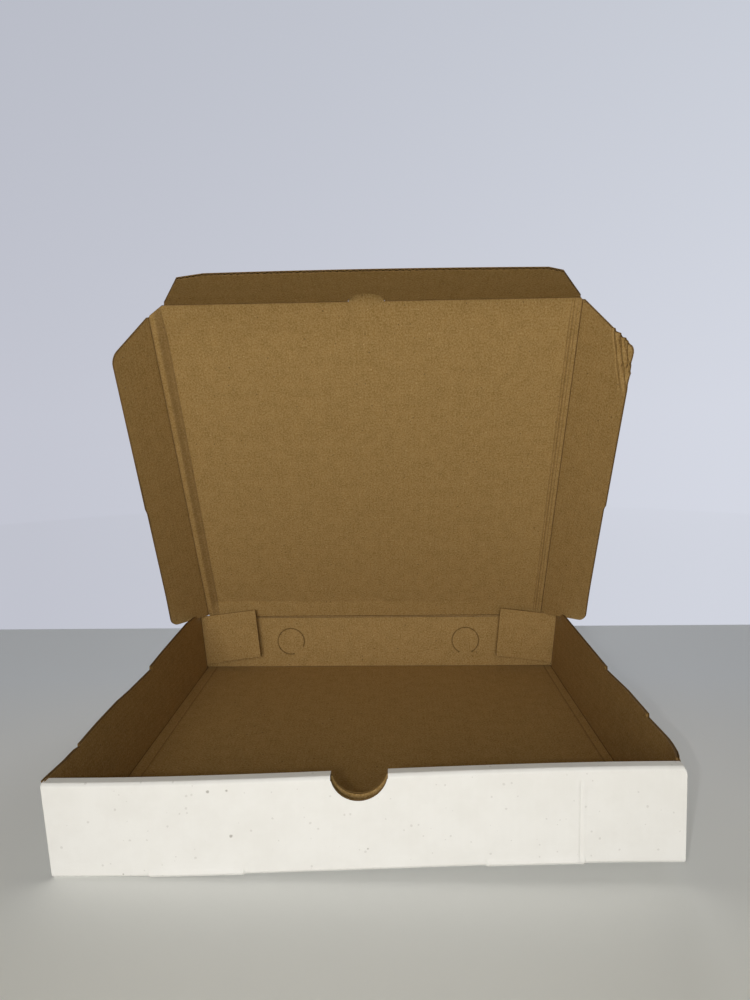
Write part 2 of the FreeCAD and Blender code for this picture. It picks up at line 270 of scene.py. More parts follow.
def make_medium():
    """The fluted medium, also on every cut edge: its own rough brown, made darker as painted shade."""
    material, shader, sheet = new_paper("fluted_medium", 0.85)
    fibres = place_group(material, FIBRES, Cloud_Size=5.0, Flute_Ridge=0.0)
    material.node_tree.links.new(sheet, fibres.inputs["Vector"])
    colour = mix_colour(material, spread(material, fibres.outputs["Fibre"], 0.3, 0.7),
                        MEDIUM_AND_EDGE_SHADE_BROWN, KRAFT_DARK)
    material.node_tree.links.new(colour, shader.inputs["Base Color"])
    bump(material, shader, fibres.outputs["Height"], 0.05 * MM)
    return material


PAPERS = {"white": make_white_liner(), "kraft": make_kraft_liner(), "medium": make_medium()}


class Panel:
    """A flat panel's frame, with X along its crease, Y away from it and Z towards the brown side.

    It also keeps where the panel lies on the flat sheet, so that the flutes and specks run on
    across every crease.
    """

    def __init__(self, folded, flat):
        self.folded = folded
        self.flat = flat

    def moved(self, x, y, turn=0.0, fold=0.0):
        """The frame of what hangs on a crease at (x, y), turned in the sheet and then folded."""
        step = Matrix.Translation((x, y, 0)) @ Matrix.Rotation(math.radians(turn), 4, "Z")
        bend = Matrix.Rotation(math.radians(fold), 4, "X")
        return Panel(self.folded @ step @ bend, self.flat @ step)

    def flutes_along_y(self):
        return abs(self.flat[0][0]) > 0.5


def deselect():
    if bpy.context.object and bpy.context.object.mode != "OBJECT":
        bpy.ops.object.mode_set(mode="OBJECT")
    bpy.ops.object.select_all(action="DESELECT")


def add_sheet(name, outline, cells, columns=()):
    """A flat grid over a convex outline with some extra columns, cut back to it edge by edge.

    The planes' normals have length 1, so that ON_PLANE is a distance in metres for each of them.
    """
    deselect()
    low = Vector((min(x for x, y in outline), min(y for x, y in outline)))
    high = Vector((max(x for x, y in outline), max(y for x, y in outline)))
    bpy.ops.mesh.primitive_grid_add(
        x_subdivisions=cells[0], y_subdivisions=cells[1], size=1.0, location=(0, 0, 0))
    sheet = bpy.context.object
    sheet.name = name
    bpy.ops.object.mode_set(mode="EDIT")
    bpy.ops.mesh.select_all(action="SELECT")
    bpy.ops.transform.resize(value=(high.x - low.x, high.y - low.y, 1.0))
    middle = (low + high) / 2
    bpy.ops.transform.translate(value=(middle.x, middle.y, 0.0))
    for place in columns:
        bpy.ops.mesh.select_all(action="SELECT")
        bpy.ops.mesh.bisect(plane_co=(place, 0, 0), plane_no=(1, 0, 0), threshold=ON_PLANE)
    for (ax, ay), (bx, by) in zip(outline, outline[1:] + outline[:1]):
        along_grid = (ax == bx and ax in (low.x, high.x)) or (ay == by and ay in (low.y, high.y))
        if along_grid:
            continue
        bpy.ops.mesh.select_all(action="SELECT")
        outward = Vector((by - ay, ax - bx, 0)).normalized()
        bpy.ops.mesh.bisect(plane_co=(ax, ay, 0), plane_no=outward, clear_outer=True,
                            threshold=ON_PLANE)
    bpy.ops.object.mode_set(mode="OBJECT")
    return sheet


def reshape(piece, rule):
    """Move every point of a piece by a rule."""
    for vertex in piece.data.vertices:
        vertex.co = rule(vertex.co)


def apply_modifier(piece, kind, **values):
    deselect()
    piece.select_set(True)
    bpy.context.view_layer.objects.active = piece
    modifier = piece.modifiers.new(kind.title(), kind)
    for name, value in values.items():
        setattr(modifier, name, value)
    bpy.ops.object.modifier_apply(modifier=modifier.name)


def joined(name, parts):
    """One object made of several, under one name."""
    deselect()
    for part in parts:
        part.select_set(True)
    bpy.context.view_layer.objects.active = parts[0]
    if len(parts) > 1:
        bpy.ops.object.join()
    whole = bpy.context.object
    whole.name = name
    whole.data.name = name
    return whole


def add_board(name, panel, outline, rows=2, liner_cells=(24, 12), warp=None, cuts=(), columns=(),
              score=None):
    """A flat piece of board on its panel: two liners and the medium's waves between them."""
    width = max(x for x, y in outline) - min(x for x, y in outline)
    length = max(y for x, y in outline) - min(y for x, y in outline)
    across = width if panel.flutes_along_y() else length
    waves = max(4, math.ceil(across / FLUTE_PITCH * STEPS_PER_FLUTE))
    wave_cells = (waves, rows) if panel.flutes_along_y() else (rows, waves)
    side = BOARD / 2 - LINER / 2
    rise = BOARD / 2 - LINER - MEDIUM / 2

    outer = add_sheet(name + "_outer", outline, liner_cells, columns)
    reshape(outer, lambda co: Vector((co.x, co.y, -side)))
    inner = add_sheet(name + "_inner", outline, liner_cells, columns)
    reshape(inner, lambda co: Vector((co.x, co.y, side)))
    wave = add_sheet(name + "_wave", outline, wave_cells,
                     () if panel.flutes_along_y() else columns)
    reshape(wave, lambda co: Vector((
        co.x, co.y, rise * math.sin(2 * math.pi / FLUTE_PITCH * (panel.flat @ co).x))))
    for layer, paper, thickness, facing in (
            (outer, "white", LINER, -1), (inner, "kraft", LINER, 1), (wave, "medium", MEDIUM, 0)):
        layer.data.materials.append(PAPERS[paper])
        layer.data.materials.append(PAPERS["medium"])
        apply_modifier(layer, "SOLIDIFY", thickness=thickness, offset=0.0)
        for face in layer.data.polygons:
            face.material_index = 0 if face.normal.z * facing > 0.5 else 1
    board = joined(name, [outer, inner, wave])
    for cut in cuts:
        cut(board)
    mark_sheet(board, panel)
    if score:
        mark_score_shade(board, score)
    if warp:
        reshape(board, warp)
    return board


def mark_score_shade(piece, rule):
    """Keep how much painted shade each point gets in a crease or score, which darkens the kraft."""
    painted_shade = piece.data.attributes.new("score", "FLOAT", "POINT")
    for vertex, place in zip(piece.data.vertices, painted_shade.data):
        place.value = rule(vertex.co)


def mark_sheet(piece, panel):
    """Keep each point's place on the flat sheet, which the papers' patterns follow."""
    places = piece.data.attributes.new("sheet", "FLOAT_VECTOR", "POINT")
    for vertex, place in zip(piece.data.vertices, places.data):
        spot = panel.flat @ vertex.co
        place.vector = (spot.x, spot.y, spot.z)


def add_crease(name, panel, low, high, reach, fold, rows=4, bends=12, columns=(), crush=0.4):
    """The strip that bends at a crease, from reach before it to reach after it, crushed midway."""
    outline = [(low, -reach), (high, -reach), (high, reach), (low, reach)]
    strip = add_board(name, panel, outline, rows=bends // 3, liner_cells=(rows, bends),
                      columns=columns,
                      # painted shade, darkest along the crease's middle
                      score=lambda co: CREASE_SHADE * math.exp(-(co.y / (0.5 * reach)) ** 2))
    angle = math.radians(fold)
    radius = reach / math.tan(angle / 2)

    def bend(co):
        turned = angle * (co.y + reach) / (2 * reach)
        middle = Vector((0, -reach + radius * math.sin(turned), radius * (1 - math.cos(turned))))
        crushed = 1 - crush * math.exp(-(co.y / (0.4 * reach)) ** 2)
        spot = middle + Vector((0, -math.sin(turned), math.cos(turned))) * co.z * crushed
        return Vector((co.x, spot.y, spot.z))

    reshape(strip, bend)
    return strip


def set_down(piece, panel):
    """Bring a piece from its panel's frame to its place on the folded box."""
    piece.data.transform(panel.folded)
    piece.data.update()
    return piece


def rounded_corner(before, corner, after, radius, steps=6):
    """Points of an arc that rounds one corner of an outline."""
    a, c, b = Vector(before), Vector(corner), Vector(after)
    to_a, to_b = (a - c).normalized(), (b - c).normalized()
    half = to_a.angle(to_b) / 2
    centre = c + (to_a + to_b).normalized() * radius / math.sin(half)
    start = c + to_a * radius / math.tan(half) - centre
    end = c + to_b * radius / math.tan(half) - centre
    whole = start.angle(end)
    points = []
    for step in range(steps + 1):
        share = step / steps
        spot = (start * math.sin((1 - share) * whole) + end * math.sin(share * whole))
        spot = centre + spot / math.sin(whole)
        points.append((spot.x, spot.y))
    return points


def cut_with(cutter):
    """A cut that takes another object's shape out of a board, and throws that object away."""
    cutter.data.materials.append(PAPERS["medium"])

    def cut(board):
        apply_modifier(board, "BOOLEAN", operation="DIFFERENCE", solver="EXACT",
                       material_mode="TRANSFER", object=cutter)
        bpy.data.objects.remove(cutter, do_unlink=True)

    return cut


def round_cutter(across, along, radius):
    """A cylinder that cuts a round hole through a board in its own frame."""
    deselect()
    bpy.ops.mesh.primitive_cylinder_add(
        vertices=72, radius=radius, depth=BOARD * 4, location=(across, along, 0))
    return bpy.context.object


# The tray's sizes, each in the frame of its own panel
FLARE = 5.0
FOLD_REACH = 1.3 * MM
FOLD_GAP = 0.3 * MM
HALF_WIDTH = 125.0 * MM
HALF_DEPTH = 121.0 * MM
WALL_HEIGHT = 40.0 * MM
FRONT_THICKNESS = 7.0 * MM
ROLL_REACH = 0.85 * MM
TAB_CREASE = Vector(joints["right_tab_crease"]["pos_m"])
LID_HINGE = Vector(joints["lid_hinge"]["pos_m"])
FRONT_LIFT = 7.0 * MM
FRONT_RIGHT_IN = 0.6 * MM
CORNER_ROUND = 1.0 * MM
FRONT_BULGE = 2.0 * MM
FRONT_FLARE_LOSS = 2.9 * MM
# Where along each wall, in mm from the middle, and how far above its even height
WALL_TOPS = {
    "left": ((-119, 0.4), (-105, -0.2), (-90, -1.0), (-86.5, -1.6), (-86, -0.4), (-65, 0.5),
             (-40, 0.7), (-23, -0.2), (10, -0.9), (10.8, 1.0), (34, 2.4), (86, 4.4), (118, 2.6)),
    "right": ((-121, -1.9), (-114.4, -1.9), (-113.4, 0.3), (-90, -0.4), (-70, -0.9), (-69.4, 0.7),
              (-40, 1.0), (-3, -0.5), (-2.4, 1.2), (40, 2.4), (86, 3.6), (118, 4.2)),
}
WALL_FRONT_GAP = 0.6 * MM
WALL_PAST_TAB = 0.5 * MM
CORNER_OUT = 2.3 * MM
NOTCH_RADIUS = 11.3 * MM
NOTCH_ACROSS = -1.6 * MM
NOTCH_ABOVE = 1.0 * MM
FLOOR_SCORES = (-117.0 * MM, 118.6 * MM)
SCORE_HALF = 0.8 * MM
FLOOR_SCORE_DEPTH = 0.5 * MM
# How deep the floor's scores dent, and how dark their painted shade is
FLOOR_SCORE_DENT_AND_SHADE = 0.5
VENT_ACROSS = 62.6 * MM
VENT_HEIGHT = 20.4 * MM
VENT_RADIUS = 9.5 * MM
VENT_CUT = 0.8 * MM
VENT_WHITE_WIDER = 0.8 * MM
VENT_NICKS = ((-VENT_ACROSS, -50.0), (VENT_ACROSS, -90.0))
VENT_NICK_HALF = 24.0
LOCK_ACROSS = 67.0 * MM
LOCK_WIDTH = 39.0 * MM
LIP_HEIGHT = 4.5 * MM
LIP_OUT = 0.7 * MM
LIP_EDGE = 0.8 * MM
MARK_ACROSS = 84.4 * MM
MARK_HALF = 0.9 * MM
MARK_DEPTH = 0.3 * MM
MARK_RIDGE_ACROSS = MARK_ACROSS + 1.4 * MM
MARK_RIDGE = 0.12 * MM
MARK_TOP = 36.0 * MM
HIDDEN_TAB = 40.0 * MM
HIDDEN_TAB_TAPER = 3.8 * MM

blank = Panel(Matrix.Translation((0, 0, BOARD / 2)), Matrix.Identity(4))
mid_width = HALF_WIDTH - BOARD / 2
mid_depth = HALF_DEPTH - BOARD / 2
rear_edge = blank.moved(0, mid_depth)
rear_wall = blank.moved(0, mid_depth, fold=90)
front_edge = blank.moved(0, -mid_depth, turn=180)
front_wall = blank.moved(0, -mid_depth, turn=180, fold=90)
side_edges = {
    "left": blank.moved(-mid_width, 0, turn=90),
    "right": blank.moved(mid_width, 0, turn=-90),
}
side_walls = {
    "left": blank.moved(-mid_width, 0, turn=90, fold=90 - FLARE),
    "right": blank.moved(mid_width, 0, turn=-90, fold=90 - FLARE),
}


def rectangle(x0, x1, y0, y1):
    return [(x0, y0), (x1, y0), (x1, y1), (x0, y1)]


def smooth(share):
    """An even step from 0 to 1 as the share goes from 0 to 1."""
    share = min(1.0, max(0.0, share))
    return share * share * (3 - 2 * share)


def ramp(value, start, end):
    """An even step from 0 at the start to 1 at the end, which may lie on either side of it."""
    return smooth((value - start) / (end - start))


def steps_between(low, high, step):
    """Evenly spaced places from low to high."""
    return [low + step * number for number in range(round((high - low) / step) + 1)]


def anticlockwise(points):
    """The same outline with its points in anticlockwise order."""
    pairs = zip(points, points[1:] + points[:1])
    area = sum(ax * by - bx * ay for (ax, ay), (bx, by) in pairs) / 2
    return points if area > 0 else points[::-1]


def score_dip(distance, width, depth):
    """A rounded groove's depth at some distance from its middle."""
    share = abs(distance) / width
    return depth * (1 - smooth(share)) if share < 1 else 0.0


def height_along(points, along):
    """A height between given points along a wall."""
    if along <= points[0][0]:
        return points[0][1]
    for (a, low), (b, high) in zip(points, points[1:]):
        if along <= b:
            return low + (high - low) * (along - a) / (b - a)
    return points[-1][1]


def side_wall_top(side):
    """A side wall's uneven top edge with its small steps, and less flare at its front."""
    sign = 1 if side == "left" else -1

    def rule(co):
        along = co.x * sign
        hump = height_along(WALL_TOPS[side], along / MM) * MM
        share = max(0.0, co.y) / WALL_HEIGHT
        pull = FRONT_FLARE_LOSS * share * ramp(along, -92 * MM, -118 * MM)
        return Vector((co.x, co.y + hump * share ** 3, co.z + pull))

    return rule


def vent_cutter(across, nick, radius, low, high):
    """A thin ring with one gap, for one face of a vent that is cut but still in place."""
    deselect()
    bpy.ops.mesh.primitive_circle_add(vertices=72, radius=radius, fill_type="NOTHING")
    ring = bpy.context.object
    for edge in ring.data.edges:
        middle = sum((ring.data.vertices[i].co for i in edge.vertices), Vector()) / 2
        angle = math.degrees(math.atan2(middle.y, middle.x))
        edge.select = abs((angle - nick + 180) % 360 - 180) < VENT_NICK_HALF
    for vertex in ring.data.vertices:
        vertex.select = False
    bpy.ops.object.mode_set(mode="EDIT")
    bpy.ops.mesh.select_mode(type="EDGE")
    bpy.ops.mesh.delete(type="EDGE")
    bpy.ops.mesh.select_all(action="SELECT")
    bpy.ops.mesh.extrude_region_move(TRANSFORM_OT_translate={"value": (0, 0, high - low)})
    bpy.ops.mesh.select_all(action="SELECT")
    bpy.ops.transform.translate(value=(across, VENT_HEIGHT - BOARD / 2, low))
    bpy.ops.object.mode_set(mode="OBJECT")
    apply_modifier(ring, "SOLIDIFY", thickness=VENT_CUT, offset=0.0)
    return ring


def floor_score(co):
    """How hard the floor was pressed by its two scores, which sets both their dents and their painted
    shade.
    """
    return sum(score_dip(co.x - place, SCORE_HALF, FLOOR_SCORE_DENT_AND_SHADE) for place in FLOOR_SCORES)


def make_floor():
    across, along = mid_width - FOLD_REACH, mid_depth - FOLD_REACH
    columns = []
    for place in FLOOR_SCORES:
        columns += steps_between(place - 0.9 * MM, place + 0.9 * MM, 0.3 * MM)
    return add_board(
        "floor", blank, rectangle(-across, across, -along, along), rows=4, liner_cells=(24, 24),
        columns=columns, score=floor_score,
        warp=lambda co: Vector((
            co.x, co.y, co.z - FLOOR_SCORE_DEPTH * floor_score(co) * (co.z > 0))))


def make_rear_wall():
    top = LID_HINGE.z - BOARD / 2 - FOLD_REACH
    face, edge = BOARD / 2 - LINER * 1.2, BOARD
    vents = []
    for across, nick in VENT_NICKS:
        vents.append(cut_with(vent_cutter(across, nick, VENT_RADIUS, face, edge)))
        wider = VENT_RADIUS + VENT_WHITE_WIDER
        vents.append(cut_with(vent_cutter(across, nick, wider, -edge, -face)))
    return add_board("rear_wall", rear_wall, rectangle(-HALF_WIDTH, HALF_WIDTH, FOLD_REACH, top),
                     rows=2, liner_cells=(24, 6), cuts=vents)


def make_side_wall(side):
    sign = 1 if side == "left" else -1
    front = -HALF_DEPTH + BOARD + WALL_FRONT_GAP
    rear = TAB_CREASE.y + WALL_PAST_TAB - FOLD_REACH
    ends = sorted((front * sign, rear * sign))
    columns = [place * sign * MM for place, height in WALL_TOPS[side][1:-1]]
    outline = rectangle(*ends, FOLD_REACH, WALL_HEIGHT - BOARD / 2)
    return add_board(side + "_wall", side_walls[side], outline, rows=40, liner_cells=(60, 12),
                     warp=side_wall_top(side), columns=columns)


def front_columns():
    """Grid lines where the front's mark and the slots' lips need them."""
    columns = steps_between(-MARK_ACROSS - 2.6 * MM, -MARK_ACROSS + 1.2 * MM, 0.25 * MM)
    for sign in (-1, 1):
        for end in (-1, 1):
            side = LOCK_ACROSS * sign + LOCK_WIDTH / 2 * end
            columns += steps_between(side - 1.0 * MM, side + 1.0 * MM, 0.25 * MM)
    return columns


def front_lift(across):
    """How far the front stands off the table, by the distance from its left corner."""
    return FRONT_LIFT * smooth(across / (2 * HALF_WIDTH))


def make_front():
    """The outer panel, the strip over its top and the inner panel, with the finger notch cut."""
    top = WALL_HEIGHT - BOARD / 2
    strip_width = FRONT_THICKNESS - BOARD
    top_edge = front_wall.moved(0, top - BOARD / 2)
    strip = front_wall.moved(0, top - BOARD / 2, fold=90)
    back_edge = strip.moved(0, strip_width)
    inner = strip.moved(0, strip_width, fold=90)
    across = -NOTCH_ACROSS
    notch = cut_with(round_cutter(across, top + NOTCH_ABOVE, NOTCH_RADIUS))
    outline = rectangle(-HALF_WIDTH, HALF_WIDTH, FOLD_REACH, top - BOARD / 2 - ROLL_REACH)
    outer = add_board("front_outer", front_wall, outline, rows=12, liner_cells=(30, 24),
                      cuts=[notch], columns=front_columns())
    parts = [set_down(outer, front_wall)]
    half_notch = math.sqrt(NOTCH_RADIUS ** 2 - NOTCH_ABOVE ** 2)
    for low, high in ((-HALF_WIDTH, across - half_notch), (across + half_notch, HALF_WIDTH)):
        fold = add_crease("front_top", top_edge, low, high, ROLL_REACH, 90, rows=20, crush=0.1)
        parts.append(set_down(fold, top_edge))
        outline = rectangle(low, high, ROLL_REACH, strip_width - FOLD_REACH)
        flat = add_board("front_strip", strip, outline, liner_cells=(20, 2))
        parts.append(set_down(flat, strip))
        fold = add_crease("front_back", back_edge, low, high, FOLD_REACH, 90, rows=20)
        parts.append(set_down(fold, back_edge))
    bottom = WALL_HEIGHT - BOARD * 2 - FOLD_GAP
    hollow = cut_with(round_cutter(across, -BOARD / 2 - NOTCH_ABOVE, NOTCH_RADIUS))
    back = add_board("front_inner", inner, rectangle(-HALF_WIDTH, HALF_WIDTH, FOLD_REACH, bottom),
                     rows=3, liner_cells=(40, 4), cuts=[hollow])
    parts.append(set_down(back, inner))
    for sign in (-1, 1):
        middle = LOCK_ACROSS * sign
        lock = add_board("lock_tab", inner, rectangle(
            middle - LOCK_WIDTH / 2, middle + LOCK_WIDTH / 2, bottom, bottom + BOARD),
            liner_cells=(8, 2))
        parts.append(set_down(lock, inner))
    return parts


def make_tray_creases():
    """The folds round the floor, and the corner tabs hidden inside the front wall."""
    parts = []
    rear = add_crease("rear_fold", rear_edge, -HALF_WIDTH, HALF_WIDTH, FOLD_REACH, 90, rows=30)
    parts.append(set_down(rear, rear_edge))
    front = add_crease("front_fold", front_edge, -HALF_WIDTH, HALF_WIDTH, FOLD_REACH, 90, rows=30,
                       columns=front_columns())
    parts.append(set_down(front, front_edge))
    for side, sign in (("left", 1), ("right", -1)):
        ends = sorted(((-mid_depth + FOLD_REACH) * sign, (mid_depth - FOLD_REACH) * sign))
        fold = add_crease(side + "_fold", side_edges[side], *ends, FOLD_REACH, 90 - FLARE, rows=30)
        parts.append(set_down(fold, side_edges[side]))
        corner_x = (-HALF_DEPTH + BOARD * 1.5 + FOLD_GAP) * sign
        corner = side_walls[side].moved(corner_x, 0, turn=90 * sign, fold=90)
        reach = HIDDEN_TAB - BOARD
        low, high = BOARD + 1 * MM, WALL_HEIGHT - BOARD * 2.5
        outline = anticlockwise([(low * sign, 0), (high * sign, 0),
                                 ((high - HIDDEN_TAB_TAPER) * sign, reach), (low * sign, reach)])
        tab = add_board(
            side + "_hidden_tab", corner, outline, liner_cells=(6, 8), warp=lambda co: Vector((
                co.x, co.y + FRONT_FLARE_LOSS * abs(co.x) / WALL_HEIGHT + FOLD_GAP, co.z)))
        parts.append(set_down(tab, corner))
    return parts


def tray_strain(co):
    """The sheet's own set: the front bulges, its right corner lifts, and the slots' lips stand out."""
    right = (co.x + HALF_WIDTH) / (2 * HALF_WIDTH)
    front = (HALF_DEPTH - co.y) / (2 * HALF_DEPTH)
    lift = front_lift(co.x + HALF_WIDTH) * max(0.0, front) ** 1.3
    pull = FRONT_RIGHT_IN * ramp(right, 0.75, 1.0) * ramp(front, 0.6, 1.0)
    bulge = FRONT_BULGE * ramp(front, 0.85, 0.97)
    if co.y < -HALF_DEPTH + BOARD + 0.01 * MM:
        for sign in (-1, 1):
            beside = LOCK_WIDTH / 2 - abs(co.x - LOCK_ACROSS * sign)
            bulge += LIP_OUT * smooth(beside / LIP_EDGE) * smooth(1 - co.z / LIP_HEIGHT)
        span = ramp(co.z, MARK_TOP, MARK_TOP - 4 * MM)
        dip = score_dip(co.x - MARK_ACROSS, MARK_HALF, MARK_DEPTH) * ramp(co.z, 0.0, 3 * MM)
        bulge += (score_dip(co.x - MARK_RIDGE_ACROSS, MARK_HALF, MARK_RIDGE) - dip) * span
    out = CORNER_OUT * ramp(right, 0.12, 0.0) * ramp(front, 0.9, 0.98)
    rounding = CORNER_ROUND * ramp(co.z, 37 * MM, 40 * MM) * ramp(right, 0.94, 1.0)
    rounding *= ramp(front, 0.95, 0.97)
    across = co.x - (pull + out) * co.z / WALL_HEIGHT - rounding
    return Vector((across, co.y - bulge, co.z + lift))


tray_parts = [set_down(make_floor(), blank), set_down(make_rear_wall(), rear_wall)]
for side in ("left", "right"):
    tray_parts.append(set_down(make_side_wall(side), side_walls[side]))
tray_parts += make_front() + make_tray_creases()
tray = joined("folded_tray", tray_parts)
reshape(tray, tray_strain)
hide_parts("tray")
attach(tray, "tray")


# Rear corner tabs
# A tab on the rear end of each side wall, folded in along the rear wall and left loose. Its
# crease is a strip of the same board that bends between the wall and the tab.
TAB_REACH = 1.5 * MM
TAB_LENGTH = 40.5 * MM
TAB_HEIGHT = 35.0 * MM
TAB_LIFT = 3.0 * MM
TAB_SKEW = 1.6 * MM
TAB_SWING = 8.0
TAB_ROUND = 0.5 * MM
TAB_CURLS = {"left": 0.4 * MM, "right": 2.4 * MM}
TAB_CURL_HEIGHT = 9.0 * MM
TAB_BOW = 0.36 * MM
TAB_PAST = 1.6 * MM
TAB_TOP_SLANT, TAB_LOW_SLANT = 1.2 * MM, 2.4 * MM


def make_rear_tab(side):
    sign = 1 if side == "left" else -1
    wall = side_walls[side]
    behind = (FOLD_GAP + TAB_ROUND + BOARD / 2) * math.tan(math.radians(TAB_SWING))
    behind += (BOARD / 2 - TAB_ROUND) / math.cos(math.radians(TAB_SWING))
    crease_x = (TAB_CREASE.y + behind) * sign
    edge = wall.moved(crease_x, 0, turn=-90 * sign)
    panel = wall.moved(crease_x, 0, turn=-90 * sign, fold=90 + TAB_SWING)
    low, high = BOARD / 2 + TAB_LIFT, BOARD / 2 + TAB_LIFT + TAB_HEIGHT
    spans = [-value * sign for value in (low, high)]
    far = TAB_LENGTH + TAB_PAST
    outline = anticlockwise([(spans[0], TAB_REACH), (spans[1], TAB_REACH),
                             (spans[1] - (TAB_SKEW + TAB_TOP_SLANT) * sign, far),
                             (spans[0] - (TAB_SKEW + TAB_LOW_SLANT) * sign, far)])

    def curl(co):
        """The tab bows a little, and its lower free corner curls out, the right one's most."""
        share = max(0.0, co.y - TAB_REACH) / far
        bow = TAB_BOW * math.sin(math.pi * share)
        corner = ramp(co.y, far * 0.72, far)
        lower = smooth(1 - abs(co.x - spans[0]) / TAB_CURL_HEIGHT)
        return Vector((co.x, co.y, co.z + TAB_CURLS[side] * corner * lower - bow))

    tab = add_board("rear_tab_" + side + "_board", panel, outline, rows=16, liner_cells=(20, 24),
                    warp=curl)
    tab = set_down(tab, panel)
    tab.name = side + "_rear_tab"
    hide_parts("rear_tab_" + side)
    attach(tab, side + "_tab")
    crease = set_down(add_crease(side + "_tab_crease_strip", edge, *sorted(spans), TAB_REACH,
                                 90 + TAB_SWING, rows=10), edge)
    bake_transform(crease)


for side in ("left", "right"):
    make_rear_tab(side)


# Lid panel
# It turns on the rear wall's top crease. A strip slopes between its left crease and a second score,
# three fine scores run beside the right one, and a half-moon tongue is cut out of the front flap.
LID_REACH = 0.9 * MM
CREASE_REACH = 0.9 * MM
LID_OPENING = 180.0 - joints["lid_hinge"]["range_deg"][1]
LID_LENGTH = (Vector(joints["front_flap_crease"]["pos_m"]) - LID_HINGE).yz.length
LID_LEFT = joints["left_flap_crease"]["pos_m"][0]
LID_RIGHT = joints["right_flap_crease"]["pos_m"][0]
LID_SHIFT = (LID_LEFT + LID_RIGHT) / 2
LID_HALF = (LID_RIGHT - LID_LEFT) / 2
CORNER_CUT_IN = 9.9 * MM
CORNER_CUT_BACK = 7.0 * MM
TONGUE_RADIUS = 9.7 * MM
TONGUE_ACROSS = 2.0 * MM
TONGUE_GAP = 0.3 * MM
LID_DISH = 3.0 * MM
LID_BOW = 0.8 * MM
LEFT_STRIP = 7.8 * MM
LEFT_BEND = (2.8 * MM, 7.6 * MM)
LEFT_RIDGE = 2.0 * MM
# From the right crease, half width and depth in mm, and how dark its painted shade is
RIGHT_SCORES = ((2.6, 0.6, 0.3, 0.35), (4.4, 0.7, 0.45, 0.5), (5.9, 0.6, 0.3, 0.35))

lid_edge = rear_wall.moved(LID_SHIFT, LID_HINGE.z - BOARD / 2)
lid_panel = rear_wall.moved(LID_SHIFT, LID_HINGE.z - BOARD / 2, fold=90 - LID_OPENING)


def lid_set(co):
    """The panel lies back behind a sloping strip at its left, and has fine scores at its right."""
    x, y = co.x, co.y
    inward = LID_HALF - abs(x)
    ends = ramp(y, LID_REACH, LID_REACH + 12 * MM) * ramp(y, LID_LENGTH, LID_LENGTH - 24 * MM)
    bow = LID_BOW * math.sin(math.pi * min(1, max(0, y / LID_LENGTH)))
    bow *= 1 - (x / LID_HALF) ** 2
    back = LID_DISH * (0.55 - 0.45 * x / LID_HALF)
    if x < 0:
        depth = back * ramp(inward, *LEFT_BEND)
        depth += score_dip(inward - LEFT_STRIP, 0.8 * MM, 0.35 * MM)
        depth -= score_dip(inward - LEFT_RIDGE, 1.6 * MM, 0.3 * MM)
    else:
        depth = back * ramp(inward, 0.4 * MM, 24.4 * MM)
        for place, width, dip, dark in RIGHT_SCORES:
            depth += score_dip(inward - place * MM, width * MM, dip * MM)
    return Vector((x, y, co.z - depth * ends - bow))


def lid_score_shade(co):
    """Painted shade in the lid's second scores, its left crease and over its left sloping strip."""
    inward = LID_HALF - abs(co.x)
    if co.x < 0:
        painted_shade = score_dip(inward - LEFT_STRIP, 0.7 * MM, 0.4)
        painted_shade += score_dip(inward - CREASE_REACH, 0.6 * MM, 0.4)
        # Painted shade over the left sloping strip
        strip = ramp(inward, 3.2 * MM, 4.0 * MM) * ramp(inward, 8.0 * MM, 7.2 * MM)
        return painted_shade + 0.3 * strip
    return sum(score_dip(inward - place * MM, 0.4 * MM, dark)
               for place, width, dip, dark in RIGHT_SCORES)


def arc(centre, radius, first, last, steps):
    """Points on an arc, angles in degrees."""
    angles = [math.radians(first + (last - first) * i / steps) for i in range(steps + 1)]
    return [(centre[0] + radius * math.cos(a), centre[1] + radius * math.sin(a)) for a in angles]


def make_lid():
    side = LID_HALF - CREASE_REACH
    front = LID_LENGTH - CREASE_REACH
    slope = CORNER_CUT_BACK / CORNER_CUT_IN
    outline = [(-side, LID_REACH), (side, LID_REACH), (side, front),
               (CORNER_CUT_IN - LID_HALF - CREASE_REACH / slope, front),
               (-side, LID_LENGTH - CORNER_CUT_BACK + CREASE_REACH * slope)]
    columns = steps_between(1.2 * MM - LID_HALF, 9.2 * MM - LID_HALF, 0.4 * MM)
    columns += steps_between(LID_HALF - 6.9 * MM, LID_HALF - 1.5 * MM, 0.2 * MM)
    main = add_board("lid_main", lid_panel, outline, rows=40, liner_cells=(48, 40), warp=lid_set,
                     columns=columns, score=lid_score_shade)
    outline = [(TONGUE_ACROSS - TONGUE_RADIUS, front), (TONGUE_ACROSS + TONGUE_RADIUS, front)]
    outline += arc((TONGUE_ACROSS, LID_LENGTH), TONGUE_RADIUS, 0, 180, 18)
    tongue = add_board("tongue", lid_panel, outline, rows=4, liner_cells=(12, 8))
    lid = set_down(joined("lid_board", [main, tongue]), lid_panel)
    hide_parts("lid_panel")
    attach(lid, "lid")
    crease = set_down(add_crease(
        "lid_crease_strip", lid_edge, -LID_HALF + CREASE_REACH, LID_HALF - CREASE_REACH, LID_REACH,
        90 - LID_OPENING, rows=30), lid_edge)
    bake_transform(crease)


make_lid()


